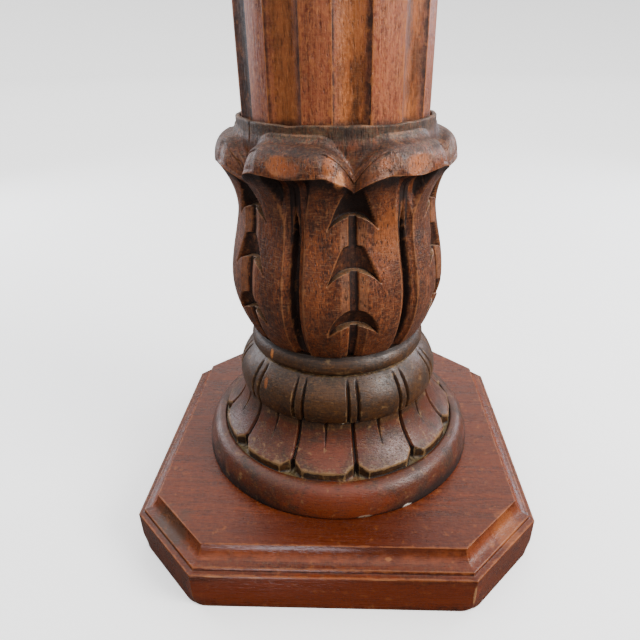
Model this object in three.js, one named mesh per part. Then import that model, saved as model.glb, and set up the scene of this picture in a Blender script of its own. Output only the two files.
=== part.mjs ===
// Fluted column pedestal in stained wood: a square plinth with cut corners carries a turned foot with
// carved petals, a cup of six curled leaves, a shaft of ten flutes, a plain capital and a top board.
// Millimetres, +Z up, origin at the middle of the underside. Angles are in degrees, from the front (-Y)
// towards +X.
import * as THREE from 'three';
import { mergeVertices } from 'three/addons/utils/BufferGeometryUtils.js';

// Whole pedestal
const TOTAL_HEIGHT = 915;
const COLUMN_TURN = 10; // where two leaves meet, a petal ends and a flute has its middle

// Plinth and top board: half width, height, cut corners and the cove along the edge
const PLINTH_HALF = 150;
const PLINTH_HEIGHT = 45.5;
const TOP_BOARD_HALF = 140;
const TOP_BOARD_HEIGHT = 34;
const CORNER_CUT = 52.6;
const LEDGE_WIDTH = 4.1;
const FILLET_HEIGHT = 3;
const COVE_RADIUS = 10.6;
const COVE_STEPS = 5;

// Foot: half-round ring, skirt of petals, torus with pairs of cuts, neck ring
const RING_RADIUS = 112;
const RING_HEIGHT = 22.8;
const RING_INNER_RADIUS = 97.9;
const RING_SHOULDER = 0.8; // below 1 the ring's shoulder is squarer than a circle
const RING_STEPS = 4;
const RECESS_DEPTH = 1.8;
const RECESS_GAP = 0.8; // the recess stops this far short of the petals' ends
const PETALS = 12;
const PETAL_END_RADIUS = 96;
const PETAL_END_HEIGHT = 7;
const PETAL_CORNER_CUT = 5;
const PETAL_CORNER_ANGLE = 9.5; // from the petal's middle to where its end turns back
const PETAL_GROOVE_ANGLE = 1.4;
const PETAL_GROOVE_DEPTH = 4;
const PETAL_CUT_ANGLE = 1.6;
const PETAL_CUT_DEPTH = 3;
const PETAL_CUT_SHARE = 0.3; // where the middle cut starts on the way from the petal's end to the torus
const PETAL_CORNER_SHARE = 0.25;
const PETAL_TOP_RADIUS = 76;
const PETAL_STEPS = 4;
const TORUS_FOOT = 104.5;
const TORUS_FOOT_RADIUS = 77.5;
const TORUS_FOOT_STEP = 0.4;
const TORUS_RADIUS = 80.6;
const TORUS_TOP = 138.6;
const TORUS_TOP_RADIUS = 66.2;
const TORUS_FULLNESS = 0.9;
const TORUS_LOW = 0.62; // below 1 the fullest part of the torus lies below its middle
const TORUS_STEPS = 5;
const CUT_DEPTH = 3;
const CUT_RUN_OUT = 8;
const CUT_END = 2;
const CUT_RIDGE_ANGLE = 1.4;
const CUT_MIDDLE_ANGLE = 2.6;
const CUT_EDGE_ANGLE = 3.9;
const NECK_RADIUS = 64.6;
const NECK_BEAD_RADIUS = 68.8;
const NECK_BEAD_EDGE = 0.6;
const NECK_BEAD_HEIGHT = 13.2;
const NECK_TOP = 153.3;

// Leaf cup: bulb, slots, crescent notches, curled tips, collar
const LEAVES = 6;
const BULB_FOOT_RADIUS = 65.2;
const BULB_FOOT_STEPS = 4;
const BULB_FOOT_CURVE = 0.85;
const BULB_RADIUS = 79.7;
const BULB_WIDEST = 197;
const WAIST_RADIUS = 71.2;
const WAIST_HEIGHT = 255;
const SLOT_ANGLE = 1.7;
const SLOT_DEPTH = 7;
const SLOT_TOP = 256;
const SLOT_RUN_OUT = 25;
const SLOT_FULL = 175;
const TROUGH_ANGLE = 5.5;
const TROUGH_DEPTH = 2.5;
const GROOVE_ANGLE = 2.5; // this and the angles below it start at the line where two leaves meet
const GROOVE_DEPTH = 4;
const BEVEL_ANGLE = 6.5;
const BEVEL_DEPTH = 1.6;
const CRESCENT_ANGLE = 13;
const HOLLOW_TOP_ANGLE = 8;
const CRESCENT_DEPTH = 5.5;
const CRESCENT_DROP = 8.5; // from a crescent's middle down to its points
const CRESCENTS = [
  { front: 184, back: 186.5, top: 197 },
  { front: 221.7, back: 223.2, top: 237 },
  { front: 256, back: 260, top: 272 },
];
const TIP_RADIUS = 83.5;
const TIP_MEET_RADIUS = 73;
const TIP_MEET_HEIGHT = 272;
const TIP_EDGE_RISE = 11;
const TIP_NOSE_SAG = 2;
const TIP_SHOULDER_ANGLE = 15; // where the tip's lower edge is highest
const TIP_BACK_MEET_HEIGHT = 282;
const TIP_BACK_RISE = 18;
const TIP_BACK_ANGLE = 18; // where the tip's back edge has reached the collar
const TIP_BACK_STEP = 4.2; // how far the back edge stands out of the collar where two tips meet
const TIP_ROUNDNESS = 2.3;
const TIP_SHARES = [0, 0.3, 0.6, 0.85, 1]; // rings on the way from the tip's lower edge to its back edge
const FLARE_CURVE = 3;
const FLARE_SHARES = [0.4, 0.75]; // rings on the way from the top crescents to the tips
const COLLAR_RADIUS = 67.6;
const COLLAR_STEP = 0.8; // from the collar out to the tips' back edge
const COLLAR_FOOT = 302;
const COLLAR_TOP = 309.5;
const COLLAR_WALL = 3.2;
const SEAT_HEIGHT = 302;

// Shaft and its flutes
const SHAFT_RADIUS = 63.6;
const SHAFT_TOP = 792;
const FLUTES = 10;
const FRONT_FLUTES = [-62.5, -26.8, 10.2, 50.4]; // spaced by eye; the others share the rest evenly
const FLUTE_ANGLE = 10.4; // from a flute's middle to its edge
const FLUTE_DEPTH = 4.6;
const FLUTE_STEPS = 3;

// Capital: the foot's mouldings upside down, left plain
const CAPITAL_FOOT_RADIUS = 66.2;
const CAPITAL_BEAD_RADIUS = 69.5;
const CAPITAL_BEAD_HEIGHT = 10;
const CAPITAL_NECK_HEIGHT = 16;
const CAPITAL_TORUS_RADIUS = 79;
const CAPITAL_TORUS_TOP_RADIUS = 75;
const CAPITAL_TORUS_HEIGHT = 26;
const CAPITAL_RING_FOOT_RADIUS = 91;
const CAPITAL_RING_RADIUS = 104;
const CAPITAL_RING_TOP_RADIUS = 103;
const CAPITAL_RING_HEIGHT = 18;
const CAPITAL_ROUND_STEPS = 4;
const CAPITAL_COLUMNS = 32;

const { lerp, clamp, degToRad } = THREE.MathUtils;
const ease = (share) => Math.sin((clamp(share, 0, 1) * Math.PI) / 2);
const fadeIn = (value, from, to) => clamp((value - from) / (to - from), 0, 1);

// Value on straight lines through [position, value] pairs
function through(pairs, position) {
  const next = pairs.findIndex(([stop]) => stop >= position - 1e-9);
  if (next <= 0) {
    return pairs[next === 0 ? 0 : pairs.length - 1][1];
  }
  const [from, low] = pairs[next - 1];
  const [to, high] = pairs[next];
  return lerp(low, high, fadeIn(position, from, to));
}

// A closed body of rings about the axis: a lathe blank whose points are then set by place(ring, column)
function ringBody(ringCount, columnCount, place) {
  const blank = [new THREE.Vector2(0, 0)];
  for (let ring = 0; ring < ringCount; ring++) {
    blank.push(new THREE.Vector2(1, ring));
  }
  blank.push(new THREE.Vector2(0, ringCount - 1));
  const geometry = new THREE.LatheGeometry(blank, columnCount);
  const points = geometry.attributes.position;
  for (let index = 0; index < points.count; index++) {
    const column = Math.floor(index / blank.length) % columnCount;
    const row = index % blank.length;
    const ring = clamp(row - 1, 0, ringCount - 1);
    const onAxis = row === 0 || row === blank.length - 1;
    const point = place(ring, column);
    points.setXYZ(index, onAxis ? 0 : point.x, onAxis ? 0 : point.y, point.z);
  }
  geometry.deleteAttribute('normal');
  geometry.deleteAttribute('uv');
  return dropEmptyTriangles(mergeVertices(geometry, 1e-4));
}

// The fan on the axis has triangles with two corners in one place
function dropEmptyTriangles(geometry) {
  const corners = geometry.index.array;
  const kept = [];
  for (let first = 0; first < corners.length; first += 3) {
    const [a, b, c] = corners.slice(first, first + 3);
    if (a !== b && b !== c && c !== a) {
      kept.push(a, b, c);
    }
  }
  geometry.setIndex(kept);
  geometry.computeVertexNormals();
  return geometry;
}

function polar(angle, radius, height) {
  const turn = degToRad(angle);
  return new THREE.Vector3(radius * Math.sin(turn), -radius * Math.cos(turn), height);
}

// Columns of a pattern that repeats and mirrors: stops are angles from the line between two repeats to
// the middle of one
function patternColumn(column, stops) {
  const half = stops.length - 1;
  const repeat = Math.floor(column / (2 * half));
  const step = column % (2 * half);
  const pitch = 2 * stops[half];
  const fromLine = step <= half ? stops[step] : stops[2 * half - step];
  const along = step <= half ? fromLine : pitch - fromLine;
  return { angle: COLUMN_TURN + repeat * pitch + along, fromLine };
}

function turnedPiece(profile, columnCount) {
  return ringBody(profile.length, columnCount, (ring, column) =>
    polar(COLUMN_TURN + (column * 360) / columnCount, profile[ring][0], profile[ring][1]));
}

// Square board with cut corners. Each level is [inset from the side, height].
function cutCornerBoard(half, levels) {
  const corners = 8;
  return ringBody(levels.length, corners, (ring, corner) => {
    const [inset, height] = levels[ring];
    const reach = half - inset;
    const along = half - CORNER_CUT - inset * (Math.SQRT2 - 1);
    const side = Math.floor(corner / 2);
    const across = corner % 2 === 0 ? -along : along;
    const point = new THREE.Vector3(across, -reach, height);
    return point.applyAxisAngle(new THREE.Vector3(0, 0, 1), degToRad(90 * side));
  });
}

// Upright side, narrow ledge, fillet and cove, from the outer face to the inner one
function boardEdge(height) {
  const coveFoot = height - COVE_RADIUS;
  const levels = [
    [0, 0],
    [0, coveFoot - FILLET_HEIGHT],
    [LEDGE_WIDTH, coveFoot - FILLET_HEIGHT],
  ];
  for (let step = 0; step <= COVE_STEPS; step++) {
    const turn = (step / COVE_STEPS) * (Math.PI / 2);
    levels.push([LEDGE_WIDTH + COVE_RADIUS * Math.sin(turn), height - COVE_RADIUS * Math.cos(turn)]);
  }
  return levels;
}

function plinthGeometry() {
  return cutCornerBoard(PLINTH_HALF, boardEdge(PLINTH_HEIGHT));
}

// The top board is the plinth's form upside down
function topBoardGeometry() {
  const levels = boardEdge(TOP_BOARD_HEIGHT).reverse();
  return cutCornerBoard(
    TOP_BOARD_HALF,
    levels.map(([inset, height]) => [inset, TOTAL_HEIGHT - height]),
  );
}

// Rings of the foot from the plinth to the neck: [radius, height, the carving that the ring takes]
function footProfile() {
  const ringTop = PLINTH_HEIGHT + RING_HEIGHT;
  const recess = ringTop - RECESS_DEPTH;
  const petalEnd = recess + PETAL_END_HEIGHT;
  const profile = [];
  for (let step = 0; step <= RING_STEPS; step++) {
    const turn = (step / RING_STEPS) * (Math.PI / 2);
    const radius = lerp(RING_INNER_RADIUS, RING_RADIUS, Math.cos(turn) ** RING_SHOULDER);
    profile.push([radius, PLINTH_HEIGHT + RING_HEIGHT * Math.sin(turn), 'plain']);
  }
  profile.push([PETAL_END_RADIUS + RECESS_GAP, recess, 'plain']);
  profile.push([PETAL_END_RADIUS, recess, 'petal']);
  for (let step = 0; step <= PETAL_STEPS; step++) {
    const share = step / PETAL_STEPS;
    const radius = lerp(PETAL_END_RADIUS, PETAL_TOP_RADIUS, ease(share));
    profile.push([radius, lerp(petalEnd, TORUS_FOOT, share), 'petal']);
  }
  profile.push([TORUS_FOOT_RADIUS, TORUS_FOOT + TORUS_FOOT_STEP, 'torus']);
  for (let step = 1; step <= TORUS_STEPS; step++) {
    const share = step / TORUS_STEPS;
    const slope = lerp(TORUS_FOOT_RADIUS, TORUS_TOP_RADIUS, share);
    const bulge = TORUS_FULLNESS * Math.sin(Math.PI * share ** TORUS_LOW);
    profile.push([lerp(slope, TORUS_RADIUS, bulge), lerp(TORUS_FOOT, TORUS_TOP, share), 'torus']);
  }
  profile.push([NECK_BEAD_RADIUS - NECK_BEAD_EDGE, TORUS_TOP + NECK_BEAD_EDGE, 'plain']);
  profile.push([NECK_BEAD_RADIUS, TORUS_TOP + NECK_BEAD_HEIGHT / 2, 'plain']);
  profile.push([NECK_RADIUS, TORUS_TOP + NECK_BEAD_HEIGHT, 'plain']);
  profile.push([NECK_RADIUS, NECK_TOP, 'plain']);
  return profile;
}

const PETAL_HALF = 180 / PETALS;
const FOOT_STOPS = {
  plain: [0, 0.25, 0.5, 0.75, 1].map((share) => share * PETAL_HALF),
  petal: [0, PETAL_GROOVE_ANGLE, PETAL_HALF - PETAL_CORNER_ANGLE, PETAL_HALF - PETAL_CUT_ANGLE, PETAL_HALF],
  torus: [0, CUT_RIDGE_ANGLE, CUT_MIDDLE_ANGLE, CUT_EDGE_ANGLE, PETAL_HALF],
};

// Depth of the petals' grooves and middle cuts, and of their turned-back corners. The share runs from the
// petal's end to the torus.
function petalDepth(fromLine, share) {
  const corner = PETAL_CORNER_CUT * (1 - fadeIn(share, 0, PETAL_CORNER_SHARE));
  const cut = PETAL_CUT_DEPTH * fadeIn(share, PETAL_CUT_SHARE, 1);
  return through([
    [0, PETAL_GROOVE_DEPTH + corner],
    [PETAL_GROOVE_ANGLE, corner],
    [PETAL_HALF - PETAL_CORNER_ANGLE, 0],
    [PETAL_HALF - PETAL_CUT_ANGLE, 0],
    [PETAL_HALF, cut],
  ], fromLine);
}

// A pair of cuts in the torus, running out below its top
function cutDepth(fromLine, height) {
  const full = CUT_DEPTH * (1 - fadeIn(height, TORUS_TOP - CUT_RUN_OUT, TORUS_TOP - CUT_END));
  return through([[CUT_RIDGE_ANGLE, 0], [CUT_MIDDLE_ANGLE, full], [CUT_EDGE_ANGLE, 0]], fromLine);
}

function footGeometry() {
  const profile = footProfile();
  const columnCount = PETALS * 2 * (FOOT_STOPS.plain.length - 1);
  const petalFoot = PLINTH_HEIGHT + RING_HEIGHT - RECESS_DEPTH + PETAL_END_HEIGHT;
  return ringBody(profile.length, columnCount, (ring, column) => {
    const [radius, height, carving] = profile[ring];
    const { angle, fromLine } = patternColumn(column, FOOT_STOPS[carving]);
    let depth = 0;
    if (carving === 'petal') {
      depth = petalDepth(fromLine, fadeIn(height, petalFoot, TORUS_FOOT));
    }
    if (carving === 'torus') {
      depth = cutDepth(fromLine, height);
    }
    return polar(angle, radius - depth, height);
  });
}

// Uncarved outline of the bulb, from the neck over its widest part to the waist
function bulbRadius(height) {
  if (height < BULB_WIDEST) {
    const share = fadeIn(height, NECK_TOP, BULB_WIDEST);
    return lerp(BULB_FOOT_RADIUS, BULB_RADIUS, ease(share ** BULB_FOOT_CURVE));
  }
  const share = fadeIn(height, BULB_WIDEST, WAIST_HEIGHT);
  return lerp(BULB_RADIUS, WAIST_RADIUS, (1 - Math.cos(share * Math.PI)) / 2);
}

const LEAF_HALF = 180 / LEAVES;
const leafStops = (hollowAngle) => [
  0,
  GROOVE_ANGLE,
  BEVEL_ANGLE,
  hollowAngle,
  LEAF_HALF - TROUGH_ANGLE,
  LEAF_HALF - SLOT_ANGLE,
  LEAF_HALF,
];

const crescentDrop = (fromLine) => CRESCENT_DROP * Math.min(1, (fromLine / CRESCENT_ANGLE) ** 2);

// Lower edge of a curled tip, and the edge behind it that runs up to the collar
function tipEdge(fromLine) {
  const rise = 1 - (1 - clamp(fromLine / TIP_SHOULDER_ANGLE, 0, 1)) ** 2;
  const sag = fadeIn(fromLine, TIP_SHOULDER_ANGLE, LEAF_HALF);
  return TIP_MEET_HEIGHT + TIP_EDGE_RISE * rise - TIP_NOSE_SAG * sag;
}

function tipBack(fromLine) {
  const rise = 1 - (1 - clamp(fromLine / TIP_BACK_ANGLE, 0, 1)) ** 2;
  return TIP_BACK_MEET_HEIGHT + TIP_BACK_RISE * rise;
}

function tipEdgeRadius(fromLine) {
  return lerp(TIP_MEET_RADIUS, TIP_RADIUS, ease(fromLine / TIP_SHOULDER_ANGLE));
}

function tipBackRadius(fromLine) {
  return COLLAR_RADIUS + COLLAR_STEP + TIP_BACK_STEP * (1 - fadeIn(fromLine, 0, TIP_BACK_ANGLE));
}

// Depth of the groove with its bevels, the trough and the slot in the trough
function lineDepth(fromLine, height) {
  const runOut = fadeIn(SLOT_TOP - height, 0, SLOT_RUN_OUT) * fadeIn(height, NECK_TOP, SLOT_FULL);
  return through([
    [0, GROOVE_DEPTH],
    [GROOVE_ANGLE, BEVEL_DEPTH],
    [BEVEL_ANGLE, 0],
    [LEAF_HALF - TROUGH_ANGLE, 0],
    [LEAF_HALF - SLOT_ANGLE, TROUGH_DEPTH],
    [LEAF_HALF, TROUGH_DEPTH + SLOT_DEPTH * runOut],
  ], fromLine);
}

// The hollow above a crescent's ledge narrows upwards and runs out at its top
function hollowAt(level) {
  const crescent = CRESCENTS.find(({ back, top }) => level >= back && level < top);
  const share = crescent ? fadeIn(level, crescent.back, crescent.top) : 1;
  return {
    angle: crescent ? lerp(CRESCENT_ANGLE, HOLLOW_TOP_ANGLE, share) : CRESCENT_ANGLE,
    depth: CRESCENT_DEPTH * (1 - share),
  };
}

function hollowDepth(level, fromLine) {
  const { angle, depth } = hollowAt(level);
  return depth * Math.sqrt(Math.max(0, 1 - (fromLine / angle) ** 2));
}

// Rings of the cup. A level is a height on the line where two leaves meet; towards the leaf's middle
// the ring follows the crescents or the tip.
function bodyRing(level, fromLine) {
  const follow = fadeIn(level, NECK_TOP, CRESCENTS[0].front);
  const height = level - follow * crescentDrop(fromLine);
  const depth = Math.max(lineDepth(fromLine, height), hollowDepth(level, fromLine));
  return { radius: bulbRadius(height) - depth, height };
}

function flareRing(share, fromLine) {
  const start = bodyRing(CRESCENTS[2].back, fromLine);
  const height = lerp(start.height, tipEdge(fromLine), share);
  return { radius: lerp(start.radius, tipEdgeRadius(fromLine), share ** FLARE_CURVE), height };
}

function tipRing(share, fromLine) {
  const roundness = lerp(1, TIP_ROUNDNESS, ease(fromLine / TIP_BACK_ANGLE));
  const out = (1 - share ** roundness) ** (1 / roundness);
  return {
    radius: lerp(tipBackRadius(fromLine), tipEdgeRadius(fromLine), out),
    height: lerp(tipEdge(fromLine), tipBack(fromLine), share),
  };
}

function cupRings() {
  const levels = [];
  for (let step = 0; step < BULB_FOOT_STEPS; step++) {
    levels.push(lerp(NECK_TOP, CRESCENTS[0].front, step / BULB_FOOT_STEPS));
  }
  CRESCENTS.forEach(({ front, back, top }, row) => {
    levels.push(front, back);
    if (row + 1 < CRESCENTS.length) {
      levels.push((back + top) / 2, top, (top + CRESCENTS[row + 1].front) / 2);
    }
  });
  const rings = levels.map((level) => ({
    stops: leafStops(hollowAt(level).angle),
    at: (fromLine) => bodyRing(level, fromLine),
  }));
  const addRing = (at) => rings.push({ stops: leafStops(CRESCENT_ANGLE), at });
  for (const share of FLARE_SHARES) {
    addRing((fromLine) => flareRing(share, fromLine));
  }
  for (const share of TIP_SHARES) {
    addRing((fromLine) => tipRing(share, fromLine));
  }
  addRing((fromLine) => ({
    radius: COLLAR_RADIUS + COLLAR_STEP,
    height: tipBack(fromLine) + COLLAR_STEP,
  }));
  addRing(() => ({ radius: COLLAR_RADIUS, height: COLLAR_FOOT }));
  addRing(() => ({ radius: COLLAR_RADIUS, height: COLLAR_TOP }));
  addRing(() => ({ radius: COLLAR_RADIUS - COLLAR_WALL, height: COLLAR_TOP }));
  addRing(() => ({ radius: COLLAR_RADIUS - COLLAR_WALL, height: SEAT_HEIGHT }));
  return rings;
}

function leafCupGeometry() {
  const rings = cupRings();
  const columnCount = LEAVES * 2 * (rings[0].stops.length - 1);
  return ringBody(rings.length, columnCount, (ring, column) => {
    const { angle, fromLine } = patternColumn(column, rings[ring].stops);
    const { radius, height } = rings[ring].at(fromLine);
    return polar(angle, radius, height);
  });
}

function fluteMiddles() {
  const last = FRONT_FLUTES[FRONT_FLUTES.length - 1];
  const gaps = FLUTES - FRONT_FLUTES.length + 1;
  const pitch = (360 + FRONT_FLUTES[0] - last) / gaps;
  const middles = [...FRONT_FLUTES];
  for (let gap = 1; gap < gaps; gap++) {
    middles.push(last + gap * pitch);
  }
  return middles;
}

// Round hollow flutes with plain bands between them, straight from end to end
function shaftGeometry() {
  const columns = [];
  const middles = fluteMiddles();
  middles.forEach((middle, flute) => {
    for (let step = -FLUTE_STEPS; step <= FLUTE_STEPS; step++) {
      const share = step / FLUTE_STEPS;
      columns.push({ angle: middle + share * FLUTE_ANGLE, depth: FLUTE_DEPTH * (1 - share ** 2) });
    }
    const next = flute + 1 < FLUTES ? middles[flute + 1] : middles[0] + 360;
    columns.push({ angle: (middle + next) / 2, depth: 0 });
  });
  const ends = [SEAT_HEIGHT, SHAFT_TOP];
  return ringBody(ends.length, columns.length, (ring, column) =>
    polar(columns[column].angle, SHAFT_RADIUS - columns[column].depth, ends[ring]));
}

// A rounded moulding between two heights, with its own radius at the foot, the crest and the head
function roundMoulding(radii, foot, head) {
  const [footRadius, crestRadius, headRadius] = radii;
  const profile = [];
  for (let step = 0; step <= CAPITAL_ROUND_STEPS; step++) {
    const share = step / CAPITAL_ROUND_STEPS;
    const turn = share * Math.PI;
    const root = lerp(footRadius, headRadius, share);
    profile.push([
      lerp(root, crestRadius, Math.sin(turn)),
      lerp(foot, head, (1 - Math.cos(turn)) / 2),
    ]);
  }
  return profile;
}

function capitalGeometry() {
  const top = TOTAL_HEIGHT - TOP_BOARD_HEIGHT;
  const beadTop = SHAFT_TOP + CAPITAL_BEAD_HEIGHT;
  const torusFoot = beadTop + CAPITAL_NECK_HEIGHT;
  const torusTop = torusFoot + CAPITAL_TORUS_HEIGHT;
  const bead = [CAPITAL_FOOT_RADIUS, CAPITAL_BEAD_RADIUS, NECK_RADIUS];
  const torus = [NECK_RADIUS, CAPITAL_TORUS_RADIUS, CAPITAL_TORUS_TOP_RADIUS];
  const ring = [CAPITAL_RING_FOOT_RADIUS, CAPITAL_RING_RADIUS, CAPITAL_RING_TOP_RADIUS];
  const profile = [
    ...roundMoulding(bead, SHAFT_TOP, beadTop),
    ...roundMoulding(torus, torusFoot, torusTop),
    ...roundMoulding(ring, top - CAPITAL_RING_HEIGHT, top),
  ];
  return turnedPiece(profile, CAPITAL_COLUMNS);
}

function stainedWood(colour, roughness) {
  return new THREE.MeshStandardMaterial({ color: colour, roughness, metalness: 0 });
}

const pedestal = new THREE.Group();
const pieces = [
  ['plinth', plinthGeometry(), stainedWood(0x6b3526, 0.45)],
  ['foot', footGeometry(), stainedWood(0x4c2d20, 0.42)],
  ['leaf_cup', leafCupGeometry(), stainedWood(0x5a2c1b, 0.4)],
  ['fluted_shaft', shaftGeometry(), stainedWood(0x6e3521, 0.45)],
  ['capital', capitalGeometry(), stainedWood(0x5a2c1e, 0.42)],
  ['top_board', topBoardGeometry(), stainedWood(0x6b3526, 0.45)],
];
for (const [name, geometry, material] of pieces) {
  const mesh = new THREE.Mesh(geometry, material);
  mesh.name = name;
  pedestal.add(mesh);
}

export default pedestal;
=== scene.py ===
# The fluted column pedestal: its carved pieces in full relief, their stained and worn wood, a pale floor,
# soft studio light and the camera. Sizes are in millimetres until a mesh is made. Angles are in degrees
# from the front (-Y) towards +X.
import math

import bmesh
import bpy
import numpy as np
from mathutils import Matrix, Vector


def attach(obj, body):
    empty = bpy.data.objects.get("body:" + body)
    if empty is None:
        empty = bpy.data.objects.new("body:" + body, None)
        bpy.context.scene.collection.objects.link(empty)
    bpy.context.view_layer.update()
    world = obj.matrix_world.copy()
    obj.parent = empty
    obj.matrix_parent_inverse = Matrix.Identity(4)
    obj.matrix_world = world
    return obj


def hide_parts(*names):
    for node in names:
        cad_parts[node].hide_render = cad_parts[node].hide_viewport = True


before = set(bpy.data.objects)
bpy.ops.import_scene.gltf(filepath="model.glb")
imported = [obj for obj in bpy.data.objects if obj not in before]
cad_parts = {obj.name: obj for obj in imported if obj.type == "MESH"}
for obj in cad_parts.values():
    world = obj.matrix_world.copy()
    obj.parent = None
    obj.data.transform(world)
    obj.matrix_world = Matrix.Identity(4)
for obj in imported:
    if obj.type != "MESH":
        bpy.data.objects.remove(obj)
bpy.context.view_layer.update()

MM = 0.001

# Places of the masks in the colour attribute of a carved piece; the grime place also holds painted shade
RUBBED, GRIME_AND_SHADE, DUST, BARE_AND_HIGHLIGHT = range(4)

# Whole pedestal
TOTAL_HEIGHT = 915
COLUMN_TURN = 10

# Plinth and top board
PLINTH_HALF = 150
PLINTH_HEIGHT = 45.5
TOP_BOARD_HALF = 140
TOP_BOARD_HEIGHT = 34
CORNER_CUT = 52.6
LEDGE_WIDTH = 4.1
FILLET_HEIGHT = 3
COVE_RADIUS = 10.6
BOARD_MIDDLE_RADIUS = 96
ARRIS = 0.5  # how far a worn edge is rounded
BOARD_TOP_RINGS = 4  # rings on the flat top of a board, outside its plain middle
PLINTH_MIDDLE_RINGS = 7
TOP_BOARD_SHADED_RINGS = 4
CORNER_WEAR = 1.6
CORNER_WEAR_WIDTH = 9
CORNER_WEAR_HEIGHT = 12
CORNER_LIFT_SHARE = 0.6
CORNER_LIFT_TOP = 3

# Foot
RING_RADIUS = 112
RING_HEIGHT = 22.8
RING_INNER_RADIUS = 97.9
RING_SHOULDER = 0.8
RING_STEPS = 18
RING_BRIM = 3  # rings on either side of the inner edge of the ring
RECESS_RINGS = 4
NECK_SHADED_RINGS = 3
RECESS_DEPTH = 1.8
PETALS = 12
PETAL_HALF = 180 / PETALS
PETAL_END_RADIUS = 96
PETAL_END_HEIGHT = 7
PETAL_CORNER_CUT = 4.5
PETAL_CORNER_ANGLE = 9.5
PETAL_HOLLOW = 0.85
PETAL_GROOVE_ANGLE = 1.4
PETAL_GROOVE_DEPTH = 4
PETAL_CUT_ANGLE = 1.6
PETAL_CUT_DEPTH = 3
PETAL_CUT_SHARE = 0.35
PETAL_TOP_RADIUS = 76
TORUS_FOOT = 104.5
TORUS_FOOT_RADIUS = 77.5
TORUS_RADIUS = 80.6
TORUS_TOP = 138.6
TORUS_TOP_RADIUS = 66.2
TORUS_FULLNESS = 0.9
TORUS_LOW = 0.62
CUT_DEPTH = 3
CUT_RUN_OUT = 8
CUT_END = 2
CUT_RIDGE_ANGLE = 1.4
CUT_MIDDLE_ANGLE = 2.6
CUT_EDGE_ANGLE = 3.9
NECK_RADIUS = 64.6
NECK_BEAD_RADIUS = 68.8
NECK_BEAD_HEIGHT = 13.2
NECK_BEAD_LOW = 0.75
NECK_TOP = 153.3
FOOT_WOBBLE = 0.35

# Leaf cup
LEAVES = 6
LEAF_HALF = 180 / LEAVES
BULB_FOOT_RADIUS = 65.2
BULB_FOOT_CURVE = 0.85
BULB_RADIUS = 79.7
BULB_WIDEST = 197
WAIST_RADIUS = 71.2
WAIST_HEIGHT = 255
SLOT_ANGLE = 2.7
SLOT_DEPTH = 7
SLOT_TOP = 258
SLOT_WIDEST = 228
SLOT_FULL = 175
TROUGH_ANGLE = 5.5
TROUGH_STEP = 2
TROUGH_STEP_ANGLE = 1.2
TROUGH_DEPTH = 3.4
TROUGH_GRIME_AND_SHADE = 0.3
CHANNEL_ANGLE = 1.6
GROOVE_ANGLE = 2.5
GROOVE_DEPTH = 4.5
BEVEL_ANGLE = 6.5
BEVEL_DEPTH = 2.2
CRESCENT_ANGLE = 13
CRESCENT_DEPTH = 8.2
CRESCENT_DROP = 8.5
CRESCENT_BEND = 2.6
CRESCENTS = [
    {"front": 184, "back": 184.8, "top": 197, "top_angle": 0},
    {"front": 221.7, "back": 222.3, "top": 238.5, "top_angle": 5.3},
    {"front": 256, "back": 257.2, "top": 272, "top_angle": 8},
]
HOLLOW_TOP_ANGLE = 4
HOLLOW_SHADE = 4.4
TIP_RADIUS = 83.5
TIP_MEET_RADIUS = 73
TIP_MEET_HEIGHT = 272
TIP_EDGE_RISE = 11
TIP_NOSE_SAG = 2
TIP_SHOULDER_ANGLE = 15
TIP_END_ANGLE = 10.5
TIP_BACK_MEET_HEIGHT = 282
TIP_BACK_RISE = 18
TIP_BACK_ANGLE = 18
TIP_BACK_STEP = 4.2
TIP_ROUNDNESS = 2.3
RIM_WIDTH = 4.5
SCOOP_DEPTH = 1.3
SCOOP_ANGLE = 15.4
TIP_FILLET_START = 0.95
TIP_FILLET_RISE = 4
TIP_FACETS = [  # place and depth of the flats left by the carver's blade
    ((-29, -77, 289), 0.9),
    ((51, -65.5, 288), 0.9),
    ((31, -75, 290), 0.5),
    ((2, -80, 284), 0.9),
    ((-62, -57, 288), 0.7),
]
FACET_REACH = 13
FLARE_CURVE = 2.2
OVERHANG_CURVE = 9
TROUGH_TOP_ANGLE = 11
COLLAR_RADIUS = 67.6
COLLAR_STEP = 0.8
COLLAR_FOOT = 302
COLLAR_TOP = 309.5
COLLAR_WALL = 3.2
COLLAR_WAVE = 0.7
CRACK_ANGLE = 310
CRACK_FOOT = 296
CRACK_DEPTH = 2.4
CRACK_HALF_ANGLE = 0.4
CUP_WOBBLE = 0.4
BEVEL_BARE_FOOT = (186, 190)
BEVEL_BARE_TOP = (250, 256)
SEAT_HEIGHT = 302

# Shaft
SHAFT_RADIUS = 63.6
SHAFT_TOP = 792
FLUTES = 10
FRONT_FLUTES = [-62.5, -26.8, 10.2, 50.4]
FLUTE_ANGLE = 10.4
FLUTE_DEPTH = 4.6
FLUTE_SIDE_SHADE = 0.62
SHAFT_FOOT_SHADE = 0.6
SHADED_FLUTE_DARKNESS = 0.6
SHADED_FLUTE_FADE = (70, 220)  # above the collar
SHAFT_WOBBLE = 0.25

# Capital
CAPITAL_FOOT_RADIUS = 66.2
CAPITAL_BEAD_RADIUS = 69.5
CAPITAL_BEAD_HEIGHT = 10
CAPITAL_NECK_HEIGHT = 16
CAPITAL_TORUS_RADIUS = 79
CAPITAL_TORUS_TOP_RADIUS = 75
CAPITAL_TORUS_HEIGHT = 26
CAPITAL_RING_FOOT_RADIUS = 91
CAPITAL_RING_RADIUS = 104
CAPITAL_RING_TOP_RADIUS = 103
CAPITAL_RING_HEIGHT = 18


# Sums on whole arrays of points

def ease(share):
    return np.sin(np.clip(share, 0, 1) * np.pi / 2)


def fade(value, start, end):
    return np.clip((value - start) / (end - start), 0, 1)


def soft_fade(value, start, end):
    share = fade(value, start, end)
    return share * share * (3 - 2 * share)


def between(low, high, share):
    return low + (high - low) * share


def from_front(angle):
    return np.abs((angle + 180) % 360 - 180)


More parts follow.
